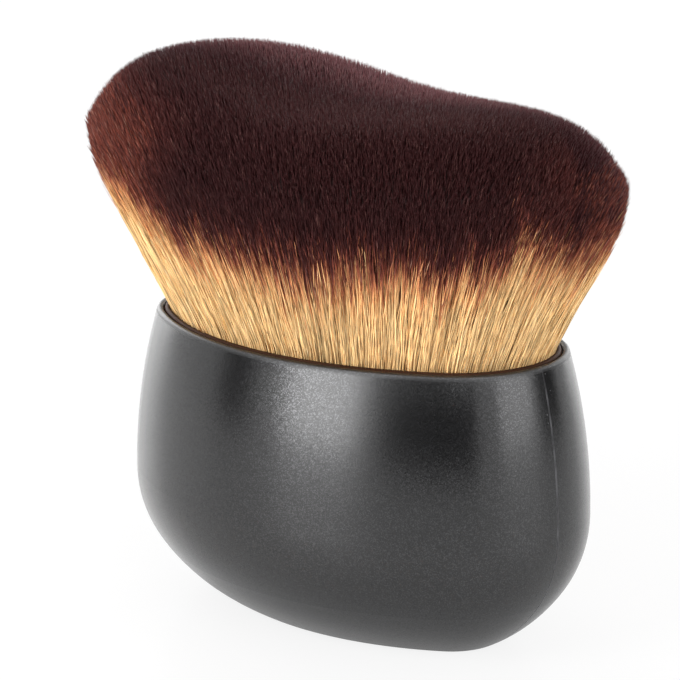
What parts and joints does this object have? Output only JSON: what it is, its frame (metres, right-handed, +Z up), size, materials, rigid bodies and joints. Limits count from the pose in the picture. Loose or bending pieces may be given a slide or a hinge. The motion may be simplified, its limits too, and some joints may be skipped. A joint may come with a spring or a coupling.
{
  "type": "kabuki makeup brush",
  "caption": "Short oval handle that stands on its base, with a wide, dense, flared head of two-tone bristles cut to a wavy crown.",
  "frame": {"origin": "centre of the flat base, on the surface that the brush stands on", "axes": "+X along the oval's long axis, front is -Y, +Z up from the base to the bristles"},
  "size_m": [0.0827, 0.0509, 0.0757],
  "materials": {
    "shell_plastic": "satin pearl black, moulded and sprayed",
    "cup_plastic": "gloss black, moulded",
    "adhesive": "cured adhesive",
    "resin": "cast resin",
    "bristles": "fine synthetic fibre, tan with dark brown dyed tips"
  },
  "bodies": {
    "root": {"handle_rear_shell": "shell_plastic", "handle_front_shell": "shell_plastic", "hair_cup": "cup_plastic", "cup_adhesive": "adhesive", "root_resin": "resin", "bristle_tuft": "bristles"}
  },
  "joints": []
}
